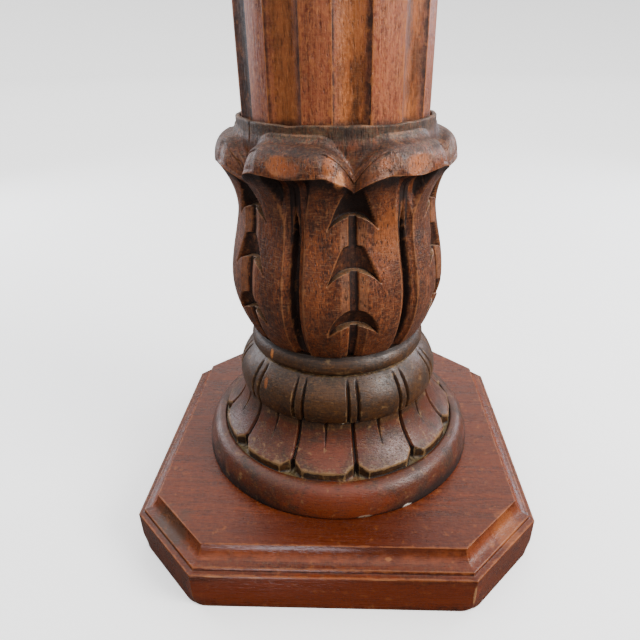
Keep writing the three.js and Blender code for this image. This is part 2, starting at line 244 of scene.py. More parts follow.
def polar(angle, radius, height):
    turn = np.radians(angle)
    radius, height, turn = np.broadcast_arrays(radius, height, turn)
    return np.stack([radius * np.sin(turn), -radius * np.cos(turn), height], axis=-1)


def hand_wobble(angle, height):
    """The unevenness of hand work, about 1 high at most."""
    turn = np.radians(angle)
    slow = 0.5 * np.sin(3 * turn + height / 31 + 1.3) + 0.3 * np.sin(7 * turn - height / 17 + 4.1)
    return slow + 0.2 * np.sin(13 * turn + height / 9.7 + 2.2)


def mirrored_columns(repeats, stops, counts):
    """Columns of a pattern that repeats and mirrors: their angles, and their angles from the line
    between two repeats."""
    spans = zip(stops, stops[1:], counts)
    half = [np.linspace(start, end, count, endpoint=False) for start, end, count in spans]
    half = np.concatenate(half + [[stops[-1]]])
    back = half[-2:0:-1]
    pitch = 2 * stops[-1]
    one_repeat = np.concatenate([half, pitch - back])
    angle = np.concatenate([COLUMN_TURN + repeat * pitch + one_repeat for repeat in range(repeats)])
    return angle, np.tile(np.concatenate([half, back]), repeats)


def spaced(start, end, count):
    """Values from start on, without the end, which the next stretch begins with."""
    return np.linspace(start, end, count, endpoint=False)


# Wear, dirt and painted shade worked out from the carved form

# Reaches are in millimetres. Pairs are where a mask starts and where it is full.
SPREAD_STEPS = 14
RUB_REACH = 0.4
GRIME_REACH = 1.6
EDGE_BENDS = (0.05, 0.25)
CORNER_BENDS = (0.04, 0.25)
# Depths at which carving starts to be darkened as painted shade and is fully darkened
DEEP_SHADE_DEPTHS = (2.4, 6)
UNRUBBED_DEPTH = (2.4, 4.4)


def ring_shift(grid, step):
    rows = np.clip(np.arange(len(grid)) + step, 0, len(grid) - 1)
    return grid[rows]


def neighbours(grid):
    return [np.roll(grid, 1, 1), np.roll(grid, -1, 1), ring_shift(grid, 1), ring_shift(grid, -1)]


def point_normals(points):
    around = np.roll(points, -1, 1) - np.roll(points, 1, 1)
    upward = ring_shift(points, 1) - ring_shift(points, -1)
    normals = np.cross(around, upward)
    return normals / np.maximum(np.linalg.norm(normals, axis=-1, keepdims=True), 1e-9)


def spread_out(mask, gaps, reach):
    """Lets a mask run out over the surface, falling off over the given reach in millimetres."""
    falls = [np.exp(-gap / reach) for gap in gaps]
    for _ in range(SPREAD_STEPS):
        mask = np.maximum.reduce([mask] + [near * fall for near, fall in zip(neighbours(mask), falls)])
    return mask


def wear_dirt_and_shade(points, depth, dust, settled=0, bare=0):
    """For each point: rubbed edge, grime with painted shade, dust and bare patch, each from 0 to 1. Deep
    carving that does not face up is darkened as painted shade. Dust lies on what faces up; settled is dirt
    that sticks on any side."""
    normals = point_normals(points)
    gaps = []
    bends = []
    for near in neighbours(points):
        apart = points - near
        gap = np.linalg.norm(apart, axis=-1)
        gaps.append(gap)
        bends.append(np.sum(apart * normals, axis=-1) / np.maximum(gap, 1e-6))
    across = (bends[0] + bends[1]) / 2
    along = (bends[2] + bends[3]) / 2
    edges = fade(np.maximum(across, along), *EDGE_BENDS)
    corners = fade(-np.minimum(across, along), *CORNER_BENDS)
    shape = points.shape[:2]
    facing_up = soft_fade(normals[..., 2], 0.5, 0.95)
    # Creases gather grime; deep carving that does not face up is darkened as painted shade
    deep = fade(np.broadcast_to(depth, shape), *DEEP_SHADE_DEPTHS) * (1 - facing_up)
    grime_and_shade = np.maximum(spread_out(corners, gaps, GRIME_REACH) * (1 - 0.6 * facing_up), deep)
    tone = np.zeros(shape + (4,))
    tone[..., RUBBED] = spread_out(edges, gaps, RUB_REACH)
    tone[..., GRIME_AND_SHADE] = grime_and_shade
    tone[..., DUST] = np.maximum(facing_up * dust, settled)
    tone[..., BARE_AND_HIGHLIGHT] = bare
    return tone


def carved_body(name, points, tone):
    """A closed body of rings: a sheet rolled to a tube, whose points are moved to their carved places."""
    rings, columns = points.shape[:2]
    blank = bmesh.new()
    bmesh.ops.create_grid(blank, x_segments=columns, y_segments=rings - 1, size=1)
    for vert in blank.verts:
        turn = math.pi * (vert.co.x + 1)
        vert.co = (math.cos(turn), math.sin(turn), (vert.co.y + 1) * (rings - 1) / 2)
    bmesh.ops.remove_doubles(blank, verts=blank.verts, dist=1e-4)
    open_edges = [edge for edge in blank.edges if edge.is_boundary]
    bmesh.ops.holes_fill(blank, edges=open_edges, sides=0)
    tube = np.array([vert.co for vert in blank.verts])
    ring = np.rint(tube[:, 2]).astype(int)
    turn = np.arctan2(tube[:, 1], tube[:, 0]) / (2 * math.pi)
    column = np.rint(turn * columns).astype(int) % columns
    for vert, place in zip(blank.verts, points[ring, column] * MM):
        vert.co = place
    bmesh.ops.recalc_face_normals(blank, faces=blank.faces)
    for face in blank.faces:
        face.smooth = len(face.verts) == 4
    mesh = bpy.data.meshes.new(name)
    blank.to_mesh(mesh)
    blank.free()
    carving = mesh.attributes.new("carving", "FLOAT_COLOR", "POINT")
    carving.data.foreach_set("color", tone[ring, column].ravel())
    piece = bpy.data.objects.new(name, mesh)
    bpy.context.collection.objects.link(piece)
    return piece


# Plinth and top board

def board_shares():
    """Places along one side, close together near its ends."""
    end = np.array([0, 0.003, 0.008, 0.016])
    return np.concatenate([end, np.linspace(0.03, 0.97, 56), 1 - end[:0:-1]])


def board_outline(half, inset):
    """Points of the cut-corner outline, one after the other round the board."""
    reach = half - inset
    along = half - CORNER_CUT - inset * (math.sqrt(2) - 1)
    shares = board_shares()[:, None]
    outline = []
    for side in range(4):
        turn = Matrix.Rotation(math.radians(90 * side), 2)
        corners = [Vector((-along, -reach)), Vector((along, -reach)), Vector((reach, -along))]
        first, second, third = [np.array(turn @ corner) for corner in corners]
        outline.append(between(first, second, shares))
        outline.append(between(second, third, shares))
    return np.concatenate(outline)


def board_edge(height):
    """[inset, height] from the underside up to the top face: side, ledge, fillet and cove."""
    ledge = height - COVE_RADIUS - FILLET_HEIGHT
    cove_foot = height - COVE_RADIUS
    edge = [(12, 0), (3, 0), (ARRIS, 0), (0, ARRIS)]
    edge += [(0, level) for level in np.linspace(2, ledge - 2, 9)]
    edge += [(0, ledge - ARRIS), (0.3 * ARRIS, ledge - 0.3 * ARRIS), (ARRIS, ledge)]
    edge += [(LEDGE_WIDTH / 2, ledge), (LEDGE_WIDTH - 0.4, ledge), (LEDGE_WIDTH, ledge + 0.3)]
    edge += [(LEDGE_WIDTH, cove_foot - ARRIS), (LEDGE_WIDTH + 0.3 * ARRIS, cove_foot - 0.1)]
    for turn in np.linspace(0.04, 0.5, 12) * math.pi:
        edge.append((LEDGE_WIDTH + COVE_RADIUS * math.sin(turn), height - COVE_RADIUS * math.cos(turn)))
    top = LEDGE_WIDTH + COVE_RADIUS
    edge[-1] = (top, height - ARRIS)
    edge += [(top + 0.3 * ARRIS, height - 0.3 * ARRIS), (top + ARRIS, height)]
    edge += [(top + 1.5, height), (top + 4, height), (top + 9, height)]
    return edge


def board_points(half, edge):
    rings = []
    for inset, height in edge:
        outline = board_outline(half, inset)
        rings.append(np.column_stack([outline, np.full(len(outline), height)]))
    return np.array(rings)


def wear_corners(points):
    """Rounds off the corners of the plinth near the floor, where it has been knocked and dragged."""
    along = PLINTH_HALF - CORNER_CUT
    low = 1 - fade(points[..., 2], 0, CORNER_WEAR_HEIGHT)
    across = np.sort(np.abs(points[..., :2]), axis=-1)
    away = np.linalg.norm(across - [along, PLINTH_HALF], axis=-1)
    wear = CORNER_WEAR * low ** 1.5 * (1 - fade(away, 0, CORNER_WEAR_WIDTH)) ** 2
    worn = points.copy()
    worn[..., :2] *= 1 - (wear / PLINTH_HALF)[..., None]
    worn[..., 2] += CORNER_LIFT_SHARE * wear * (points[..., 2] < CORNER_LIFT_TOP)
    return worn


def make_plinth():
    points = wear_corners(board_points(PLINTH_HALF, board_edge(PLINTH_HEIGHT)))
    flat = points[-1]
    middle = flat * (BOARD_MIDDLE_RADIUS / np.linalg.norm(flat[:, :2], axis=1))[:, None]
    middle[:, 2] = PLINTH_HEIGHT
    inner = [between(flat, middle, share) for share in np.linspace(0.15, 1, PLINTH_MIDDLE_RINGS)]
    points = np.concatenate([points, inner])
    tone = wear_dirt_and_shade(points, 0, 0.3)
    tone[-BOARD_TOP_RINGS - PLINTH_MIDDLE_RINGS:, :, DUST] = 0
    below_top = PLINTH_HEIGHT - points[..., 2]
    # Painted highlight: the cove is lightened all round with the bare colour
    tone[..., BARE_AND_HIGHLIGHT] = 0.5 * (below_top > 1) * (below_top < COVE_RADIUS - 1)
    tone[..., GRIME_AND_SHADE] *= 0.6
    return carved_body("carved_plinth", points, tone)


def make_top_board():
    points = board_points(TOP_BOARD_HALF, board_edge(TOP_BOARD_HEIGHT))[::-1].copy()
    points[..., 2] = TOTAL_HEIGHT - points[..., 2]
    tone = wear_dirt_and_shade(points, 0, 0.2)
    # Painted shade on the underside of the board
    tone[:TOP_BOARD_SHADED_RINGS, :, GRIME_AND_SHADE] = 0.8
    return carved_body("moulded_top_board", points, tone)


# Foot

def petal_ring(share, from_line):
    """The hollow face of the petals, from their ends with cut corners up to the torus, with the grooves
    between them and a tapered cut down the middle."""
    end = PLINTH_HEIGHT + RING_HEIGHT - RECESS_DEPTH + PETAL_END_HEIGHT
    hollow = PETAL_END_RADIUS - PETAL_TOP_RADIUS
    corner = [PETAL_GROOVE_ANGLE, PETAL_HALF - PETAL_CORNER_ANGLE]
    set_back = np.interp(from_line, corner, [PETAL_CORNER_CUT, 0])
    start = np.arcsin((set_back / hollow) ** (1 / PETAL_HOLLOW)) * 2 / np.pi
    along = between(start, 1, share)
    radius = PETAL_END_RADIUS - hollow * ease(along) ** PETAL_HOLLOW
    groove = np.interp(from_line, [0, PETAL_GROOVE_ANGLE], [PETAL_GROOVE_DEPTH, 0])
    taper = fade(along, PETAL_CUT_SHARE, 1)
    width = PETAL_CUT_ANGLE * taper + 0.01
    cut = PETAL_CUT_DEPTH * np.sqrt(taper) * np.clip(1 - (PETAL_HALF - from_line) / width, 0, 1)
    depth = groove + cut
    return radius - depth, between(end, TORUS_FOOT, along), depth


def cut_depth(from_line, height):
    full = CUT_DEPTH * (1 - fade(height, TORUS_TOP - CUT_RUN_OUT, TORUS_TOP - CUT_END))
    return np.interp(from_line, [CUT_RIDGE_ANGLE, CUT_MIDDLE_ANGLE, CUT_EDGE_ANGLE], [0, full, 0])


def foot_rings(from_line):
    """Rings from the plinth to the neck: radius, height, depth of the carving, and 1 where the wood is
    redder and cleaner."""
    ring_top = PLINTH_HEIGHT + RING_HEIGHT
    recess = ring_top - RECESS_DEPTH
    plain = np.zeros_like(from_line)
    rings = []
    for share in np.linspace(0, 1, RING_STEPS):
        turn = share * math.pi / 2
        radius = between(RING_INNER_RADIUS, RING_RADIUS, math.cos(turn) ** RING_SHOULDER)
        height = PLINTH_HEIGHT + RING_HEIGHT * math.sin(turn)
        rings.append((plain + radius, plain + height, plain, plain + 1))
    rings.append((plain + RING_INNER_RADIUS - 0.4, plain + ring_top - 0.4, plain, plain + 1))
    rings.append((plain + RING_INNER_RADIUS - 0.6, plain + recess + 0.3, plain, plain))
    rings.append((plain + PETAL_END_RADIUS + 0.5, plain + recess, plain, plain))
    end_radius, end_height, end_depth = petal_ring(0, from_line)
    for share in np.linspace(0, 1, 5):
        # The petals' end walls are darkened as painted shade
        rings.append((end_radius, between(recess, end_height - 0.6, share), end_depth + 2, plain))
    for share in np.linspace(0.012, 1, 26):
        radius, height, depth = petal_ring(share, from_line)
        rings.append((radius, height, depth, plain + 1 - soft_fade(share, 0.6, 1)))
    rings.append((plain + TORUS_FOOT_RADIUS, plain + TORUS_FOOT + 0.4, plain, plain))
    for share in np.linspace(0.03, 1, 26):
        slope = between(TORUS_FOOT_RADIUS, TORUS_TOP_RADIUS, share)
        bulge = TORUS_FULLNESS * math.sin(math.pi * share ** TORUS_LOW)
        height = between(TORUS_FOOT, TORUS_TOP, share)
        depth = cut_depth(from_line, height)
        rings.append((between(slope, TORUS_RADIUS, bulge) - depth, plain + height, depth, plain))
    for share in np.linspace(0, 1, 16):
        bulge = max(0, math.sin(math.pi * share ** NECK_BEAD_LOW)) ** 0.8
        radius = between(NECK_RADIUS, NECK_BEAD_RADIUS, bulge)
        rings.append((plain + radius, plain + TORUS_TOP + share * NECK_BEAD_HEIGHT, plain, plain))
    rings.append((plain + NECK_RADIUS, plain + NECK_TOP, plain, plain))
    return rings


def make_foot():
    stops = [0, 0.7, PETAL_GROOVE_ANGLE, CUT_MIDDLE_ANGLE, CUT_EDGE_ANGLE, PETAL_HALF - PETAL_CORNER_ANGLE,
             PETAL_HALF - PETAL_CUT_ANGLE, PETAL_HALF]
    angle, from_line = mirrored_columns(PETALS, stops, [2, 3, 4, 4, 3, 8, 5])
    points = []
    depths = []
    clean = []
    for radius, height, depth, redder in foot_rings(from_line):
        wobble = FOOT_WOBBLE * hand_wobble(angle, height)
        points.append(polar(angle, radius + wobble, height))
        depths.append(depth)
        clean.append(redder)
    points = np.array(points)
    # Doubled depths darken the grooves and cuts as painted shade
    tone = wear_dirt_and_shade(points, 2 * np.array(depths), 0.5, bare=np.array(clean))
    # Painted shade on the ring, darker low down towards the plinth and at the sides away from the front
    off_front = soft_fade(from_front(angle), 12, 40)
    low_on_ring = 1 - fade(points[..., 2], PLINTH_HEIGHT, PLINTH_HEIGHT + 0.8 * RING_HEIGHT)
    ring = slice(0, RING_STEPS)
    ring_shade = low_on_ring[ring] * between(0.35, 0.9, off_front)
    tone[ring, :, GRIME_AND_SHADE] = np.maximum(tone[ring, :, GRIME_AND_SHADE], ring_shade)
    tone[ring, :, RUBBED] *= 0.4
    tone[ring, :, DUST] = 0
    tone[RING_STEPS - RING_BRIM:RING_STEPS + RING_BRIM, :, RUBBED] *= 0.3
    tone[RING_STEPS:RING_STEPS + RECESS_RINGS, :, DUST] *= 1.6
    # Painted shade on the top of the neck, under the cup
    tone[-NECK_SHADED_RINGS:, :, GRIME_AND_SHADE] = 0.6
    above_ends = points[..., 2] > PLINTH_HEIGHT + RING_HEIGHT + PETAL_END_HEIGHT + 1.5
    tone[..., RUBBED] *= np.where(above_ends, 0.45, 1)
    return carved_body("carved_foot", points, tone)


# Leaf cup

def bulb_radius(height):
    up_to_widest = fade(height, NECK_TOP, BULB_WIDEST) ** BULB_FOOT_CURVE
    low = between(BULB_FOOT_RADIUS, BULB_RADIUS, ease(up_to_widest))
    share = fade(height, BULB_WIDEST, WAIST_HEIGHT)
    high = between(BULB_RADIUS, WAIST_RADIUS, (1 - np.cos(share * np.pi)) / 2)
    return np.where(height < BULB_WIDEST, low, high)


def line_depth(from_line, height):
    """Depth of the groove with its bevels, of the trough and of the slot in the trough."""
    from_middle = LEAF_HALF - from_line
    arris = LEAF_HALF - TROUGH_ANGLE
    stops = [0, CHANNEL_ANGLE, GROOVE_ANGLE, BEVEL_ANGLE]
    stops += [arris, arris + TROUGH_STEP_ANGLE, LEAF_HALF - SLOT_ANGLE]
    depths = [GROOVE_DEPTH, GROOVE_DEPTH, BEVEL_DEPTH, 0, 0, TROUGH_STEP, TROUGH_DEPTH]
    line = np.interp(from_line, stops, depths)
    width = SLOT_ANGLE * np.sqrt(fade(SLOT_TOP - height, 0.01, SLOT_TOP - SLOT_WIDEST)) + 0.01
    slot = SLOT_DEPTH * fade(height, NECK_TOP, SLOT_FULL) * np.clip(1 - (from_middle / width) ** 4, 0, 1)
    return line + slot


def hollow_depth(level, from_line):
    """The crescents' ledges and the hollows above them: a half-moon, a tent and the dark hollow under the
    tips."""
    depth = np.zeros_like(from_line)
    for row, crescent in enumerate(CRESCENTS):
        if crescent["front"] < level < crescent["top"]:
            share = fade(level, crescent["back"], crescent["top"])
            on_ledge = fade(level, crescent["front"], crescent["back"])
            if row == 0:
                inside = 1 - (from_line / CRESCENT_ANGLE) ** 2 - share ** 2
                fall = 1
            else:
                width = between(CRESCENT_ANGLE, crescent["top_angle"], share)
                inside = 1 - (from_line / width) ** 2
                fall = 1 - 0.5 * share
            depth = CRESCENT_DEPTH * on_ledge * fall * np.sqrt(np.maximum(0, inside))
    return depth


def body_ring(level, from_line):
    """Radius, height and shade along a ring that follows the crescents."""
    follow = fade(level, NECK_TOP, CRESCENTS[0]["front"])
    height = level - follow * CRESCENT_DROP * np.minimum(1, (from_line / CRESCENT_ANGLE) ** CRESCENT_BEND)
    line = line_depth(from_line, height)
    hollow = hollow_depth(level, from_line)
    shade = np.maximum(line, HOLLOW_SHADE * fade(hollow, 0.3, 1))
    return bulb_radius(height) - np.maximum(line, hollow), height, shade


def tip_edge(from_line):
    rise = 1 - (1 - np.clip(from_line / TIP_SHOULDER_ANGLE, 0, 1)) ** 2
    sag = fade(from_line, TIP_SHOULDER_ANGLE, LEAF_HALF)
    return TIP_MEET_HEIGHT + TIP_EDGE_RISE * rise - TIP_NOSE_SAG * sag


def tip_back(from_line):
    rise = 1 - (1 - np.clip(from_line / TIP_BACK_ANGLE, 0, 1)) ** 2
    return TIP_BACK_MEET_HEIGHT + TIP_BACK_RISE * rise


def tip_edge_radius(from_line):
    return between(TIP_MEET_RADIUS, TIP_RADIUS, ease(from_line / TIP_END_ANGLE))


def tip_back_radius(from_line):
    return COLLAR_RADIUS + COLLAR_STEP + TIP_BACK_STEP * (1 - fade(from_line, 0, TIP_BACK_ANGLE))


def flare_ring(share, from_line):
    """Between the top crescents and the lower edges of the tips. The hollow over each crescent narrows to
    a point where two tips meet. The lobes of a leaf flare out to its tip, which overhangs the trough."""
    level = CRESCENTS[2]["back"]
    foot = level - CRESCENT_DROP * np.minimum(1, (from_line / CRESCENT_ANGLE) ** CRESCENT_BEND)
    height = between(foot, tip_edge(from_line), share)
    narrow = between(CRESCENT_ANGLE, HOLLOW_TOP_ANGLE, fade(share, 0, 0.8) ** 0.7)
    hollow = CRESCENT_DEPTH * (1 - 0.5 * share) * np.sqrt(np.maximum(0, 1 - (from_line / narrow) ** 2))
    hollow = hollow * (1 - fade(share, 0.8, 1))
    depth = np.maximum(line_depth(from_line, height) * (1 - fade(share, 0.5, 1)), hollow)
    edge_radius = tip_edge_radius(from_line)
    lobe = between(bulb_radius(foot), edge_radius, share ** FLARE_CURVE) - depth
    floor_depth = np.maximum(depth, TROUGH_DEPTH * soft_fade(share, 0, 0.6))
    trough = between(bulb_radius(foot) - floor_depth, edge_radius, share ** OVERHANG_CURVE)
    half_width = between(TROUGH_ANGLE, TROUGH_TOP_ANGLE, share ** 1.5)
    in_trough = 1 - soft_fade(LEAF_HALF - from_line, half_width - 0.8, half_width + 0.8)
    # Painted shade: darker in the narrowing hollow, in the trough and under the overhanging tip
    shade = HOLLOW_SHADE * fade(hollow, 0.3, 1) + 6 * share * in_trough + 5.6 * share ** 1.2
    return between(lobe, trough, in_trough), height, shade


def tip_ring(share, from_line):
    """The curled tip from its lower edge to its back edge, its ends scooped out inside a rolled rim."""
    roundness = between(1, TIP_ROUNDNESS, ease(from_line / TIP_BACK_ANGLE))
    out = (1 - share ** roundness) ** (1 / roundness)
    radius = between(tip_back_radius(from_line), tip_edge_radius(from_line), out)
    height = between(tip_edge(from_line), tip_back(from_line), share)
    from_back = (1 - share) * np.hypot(
        tip_edge_radius(from_line) - tip_back_radius(from_line),
        tip_back(from_line) - tip_edge(from_line),
    )
    scoop = soft_fade(from_back, RIM_WIDTH - 0.6, RIM_WIDTH + 0.6) * soft_fade(share, 0.02, 0.15)
    scoop = scoop * (1 - soft_fade(from_line, SCOOP_ANGLE - 2, SCOOP_ANGLE + 1))
    return radius - SCOOP_DEPTH * scoop, height, 0 * radius, 0.5 * scoop


def fillet_ring(share, from_line):
    """The hollow that leads from the tip's back up to the collar."""
    radius, height, depth, bare = tip_ring(TIP_FILLET_START, from_line)
    radius = between(radius, COLLAR_RADIUS + COLLAR_STEP, ease(share))
    top = tip_back(from_line) + TIP_FILLET_RISE
    return radius, between(height, top, 1 - math.cos(share * math.pi / 2)), depth, bare


def bevel_strips(from_line, height, depth):
    """Where the bevels beside the grooves lie bare."""
    across = (from_line > GROOVE_ANGLE) * (from_line < BEVEL_ANGLE) * (depth < BEVEL_DEPTH)
    return 0.9 * across * fade(height, *BEVEL_BARE_FOOT) * (1 - fade(height, *BEVEL_BARE_TOP))


def cup_rings(from_line):
    """Radius, height, depth with painted shade, and bareness of every ring from the neck up to the seat in
    the collar.
    """
    levels = [spaced(NECK_TOP, CRESCENTS[0]["front"] - 0.4, 20)]
    for row, crescent in enumerate(CRESCENTS):
        front, back, top = crescent["front"], crescent["back"], crescent["top"]
        levels.append([front - 0.4, front])
        levels.append(between(front, back, np.array([0.08, 0.3, 0.55, 0.8, 1])))
        if row + 1 < len(CRESCENTS):
            levels.append(spaced(back + 0.3, top - 0.3, 12))
            levels.append([top - 0.3, top])
            levels.append(spaced(top + 1, CRESCENTS[row + 1]["front"] - 0.4, 11))
    rings = []
    for level in np.concatenate(levels):
        radius, height, depth = body_ring(level, from_line)
        rings.append((radius, height, depth, bevel_strips(from_line, height, depth)))
    plain = np.zeros_like(from_line)
    rings += [(*flare_ring(share, from_line), plain) for share in np.linspace(0.05, 0.985, 18)]
    tip_shares = np.concatenate([[0, 0.012, 0.03], np.linspace(0.06, TIP_FILLET_START, 26)])
    rings += [tip_ring(share, from_line) for share in tip_shares]
    rings += [fillet_ring(share, from_line) for share in np.linspace(0.15, 1, 6)]
    collar_start = tip_back(from_line) + TIP_FILLET_RISE
    for share in np.linspace(0.08, 1, 12):
        height = between(collar_start, COLLAR_TOP - ARRIS, share)
        radius = COLLAR_RADIUS + COLLAR_STEP * (1 - fade(height, COLLAR_FOOT - 4, COLLAR_FOOT))
        rings.append((radius, height, plain, plain))
    inner = COLLAR_RADIUS - COLLAR_WALL
    rim = [(COLLAR_RADIUS - 0.2, COLLAR_TOP - 0.2), (COLLAR_RADIUS - ARRIS, COLLAR_TOP)]
    rim += [(inner + ARRIS, COLLAR_TOP), (inner, COLLAR_TOP - ARRIS)]
    rim += [(inner, SEAT_HEIGHT + 2), (inner, SEAT_HEIGHT)]
    rings += [(plain + radius, plain + height, plain, plain) for radius, height in rim]
    return rings


def cut_facets(points):
    """Points with the flats cut off, and how much was cut away at each."""
    normals = point_normals(points)
    removed = np.zeros(points.shape[:2])
    for place, depth in TIP_FACETS:
        away = np.linalg.norm(points - place, axis=-1)
        nearest = np.unravel_index(np.argmin(away), away.shape)
        above = (points - points[nearest]) @ normals[nearest] + depth
        cut = np.maximum(0, above) * (away < FACET_REACH)
        points = points - cut[..., None] * normals[nearest]
        removed = np.maximum(removed, cut)
    return points, removed


def make_leaf_cup():
    stops = [0, CHANNEL_ANGLE, GROOVE_ANGLE, BEVEL_ANGLE, CRESCENT_ANGLE, LEAF_HALF - TROUGH_ANGLE,
             LEAF_HALF - TROUGH_ANGLE + TROUGH_STEP_ANGLE, LEAF_HALF - SLOT_ANGLE, LEAF_HALF]
    angle, from_line = mirrored_columns(LEAVES, stops, [3, 4, 7, 10, 14, 3, 4, 6])
    rings = [np.array(values) for values in zip(*cup_rings(from_line))]
    radius, height, depth, bare = rings
    wave = COLLAR_WAVE * (hand_wobble(2 * angle, 0) - 0.6)
    in_crack = np.abs(angle - CRACK_ANGLE) < CRACK_HALF_ANGLE
    crack = CRACK_DEPTH * in_crack * (height > CRACK_FOOT) * (radius > SHAFT_RADIUS + 3)
    depth = depth + 2 * crack
    wobble = CUP_WOBBLE * hand_wobble(angle, height) * fade(SEAT_HEIGHT + 4 - height, 0, 12)
    radius = radius - crack + wobble
    dust = np.where((height < TIP_MEET_HEIGHT) | (height > COLLAR_TOP - 1), 1, 0.35)
    settled = 0.36 * soft_fade(height, TIP_BACK_MEET_HEIGHT, TIP_BACK_MEET_HEIGHT + 6)
    settled = np.maximum(settled, 0.62 * soft_fade(height, COLLAR_FOOT - 8, COLLAR_FOOT + 2))
    points = polar(angle, radius, height + wave * soft_fade(height, COLLAR_FOOT + 1, COLLAR_TOP - 1))
    points, removed = cut_facets(points)
    # depth carries the painted shade of the hollows and under the tips into the grime place
    tone = wear_dirt_and_shade(points, depth, dust, settled, np.maximum(bare, 0.8 * fade(removed, 0, 0.1)))
    in_trough = (from_line > LEAF_HALF - TROUGH_ANGLE - 1) & (from_line < LEAF_HALF - SLOT_ANGLE)
    tone[..., GRIME_AND_SHADE] *= np.where(in_trough, TROUGH_GRIME_AND_SHADE, 1)
    on_tips = soft_fade(height, TIP_MEET_HEIGHT, TIP_MEET_HEIGHT + 4) * (depth == 0)
    tip_tops = 0.5 * soft_fade(height, TIP_BACK_MEET_HEIGHT + 4, TIP_BACK_MEET_HEIGHT + 14)
    off_facets = 1 - fade(removed, 0, 0.1)
    tone[..., GRIME_AND_SHADE] = np.maximum(tone[..., GRIME_AND_SHADE] * (1 - 0.6 * on_tips), tip_tops * off_facets)
    tone[..., DUST] *= off_facets
    tone[..., RUBBED] *= (1 - fade(depth, *UNRUBBED_DEPTH)) * (1 - 1.3 * tip_tops)
    return carved_body("carved_leaf_cup", points, tone)


# Shaft and capital

def flute_middles():
    last = FRONT_FLUTES[-1]
    gaps = FLUTES - len(FRONT_FLUTES) + 1
    pitch = (360 + FRONT_FLUTES[0] - last) / gaps
    return FRONT_FLUTES + [last + gap * pitch for gap in range(1, gaps)]


def make_shaft():
    middles = flute_middles()
    angles = []
    depths = []
    corners = []
    darkest = []
    for middle, following in zip(middles, middles[1:] + [middles[0] + 360]):
        shares = np.concatenate([[-1, -0.97, -0.9], np.linspace(-0.8, 0.8, 17), [0.9, 0.97]])
        band = np.linspace(middle + FLUTE_ANGLE, following - FLUTE_ANGLE, 13)
        band[1] = band[0] + 0.3
        band[-2] = band[-1] - 0.3
        angles += [middle + shares * FLUTE_ANGLE, band[:-1]]
        depths += [FLUTE_DEPTH * (1 - shares ** 2), np.zeros(len(band) - 1)]
        # Painted shade along the flutes' sides, broad on the right side and narrow on the left
        flute_side_shade = FLUTE_SIDE_SHADE * np.maximum(soft_fade(shares, 0.3, 0.95), soft_fade(-shares, 0.7, 0.95))
        corners += [flute_side_shade * (shares > -1), np.zeros(len(band) - 1)]
        darkest += [np.full(len(shares), middle == middles[0]), np.zeros(len(band) - 1)]
    angle = np.concatenate(angles)
    depth = np.concatenate(depths)
    points = []
    foot_levels = np.linspace(SEAT_HEIGHT, COLLAR_TOP + 12, 14)
    heights = np.concatenate([foot_levels, np.linspace(COLLAR_TOP + 18, SHAFT_TOP, 80)])
    for height in heights:
        wobble = SHAFT_WOBBLE * hand_wobble(angle, height / 4)
        points.append(polar(angle, SHAFT_RADIUS - depth + wobble, height))
    points = np.array(points)
    tone = wear_dirt_and_shade(points, 0, 0)
    above_collar = (heights - COLLAR_TOP)[:, None]
    # Painted shade on the shaft just above the collar
    shaft_foot_shade = SHAFT_FOOT_SHADE * (1 - soft_fade(above_collar, -2, 7))
    # Painted shade on the first flute at the left, fading out higher up
    shaded_flute = SHADED_FLUTE_DARKNESS * np.concatenate(darkest) * (1 - soft_fade(above_collar, *SHADED_FLUTE_FADE))
    flute_shade = np.maximum(np.concatenate(corners), shaded_flute)
    tone[..., GRIME_AND_SHADE] = np.maximum.reduce([tone[..., GRIME_AND_SHADE], shaft_foot_shade + 0 * angle, flute_shade])
    tone[..., DUST] = depth / FLUTE_DEPTH * between(1, 0.55, soft_fade(from_front(angle), 70, 110))
    return carved_body("fluted_column_shaft", points, tone)


def round_moulding(radii, foot, head):
    foot_radius, crest_radius, head_radius = radii
    profile = []
    for share in np.linspace(0, 1, 17):
        turn = share * math.pi
        root = between(foot_radius, head_radius, share)
        height = between(foot, head, (1 - math.cos(turn)) / 2)
        profile.append((between(root, crest_radius, math.sin(turn)), height))
    return profile


def make_capital():
    top = TOTAL_HEIGHT - TOP_BOARD_HEIGHT
    bead_top = SHAFT_TOP + CAPITAL_BEAD_HEIGHT
    torus_foot = bead_top + CAPITAL_NECK_HEIGHT
    torus_top = torus_foot + CAPITAL_TORUS_HEIGHT
    ring_foot = top - CAPITAL_RING_HEIGHT
    bead = [CAPITAL_FOOT_RADIUS, CAPITAL_BEAD_RADIUS, NECK_RADIUS]
    torus = [NECK_RADIUS, CAPITAL_TORUS_RADIUS, CAPITAL_TORUS_TOP_RADIUS]
    ring = [CAPITAL_RING_FOOT_RADIUS, CAPITAL_RING_RADIUS, CAPITAL_RING_TOP_RADIUS]
    profile = round_moulding(bead, SHAFT_TOP, bead_top)
    profile += [(NECK_RADIUS, height) for height in np.linspace(bead_top + 2, torus_foot - 2, 4)]
    profile += round_moulding(torus, torus_foot, torus_top)
    for share in np.linspace(0.1, 0.95, 10):
        radius = between(CAPITAL_TORUS_TOP_RADIUS, CAPITAL_RING_FOOT_RADIUS, share ** 1.6)
        profile.append((radius, between(torus_top, ring_foot, share)))
    profile += round_moulding(ring, ring_foot, top)
    angle = np.arange(0, 360, 1.5)
    points = np.array([polar(angle, radius, height) for radius, height in profile])
    tone = wear_dirt_and_shade(points, 0, 0)
    return carved_body("turned_capital", points, tone)


pieces = {
    "plinth": make_plinth(),
    "foot": make_foot(),
    "leaf_cup": make_leaf_cup(),
    "fluted_shaft": make_shaft(),
    "capital": make_capital(),
    "top_board": make_top_board(),
}
for node, piece in pieces.items():
    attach(piece, "root")
    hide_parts(node)


# Shader building

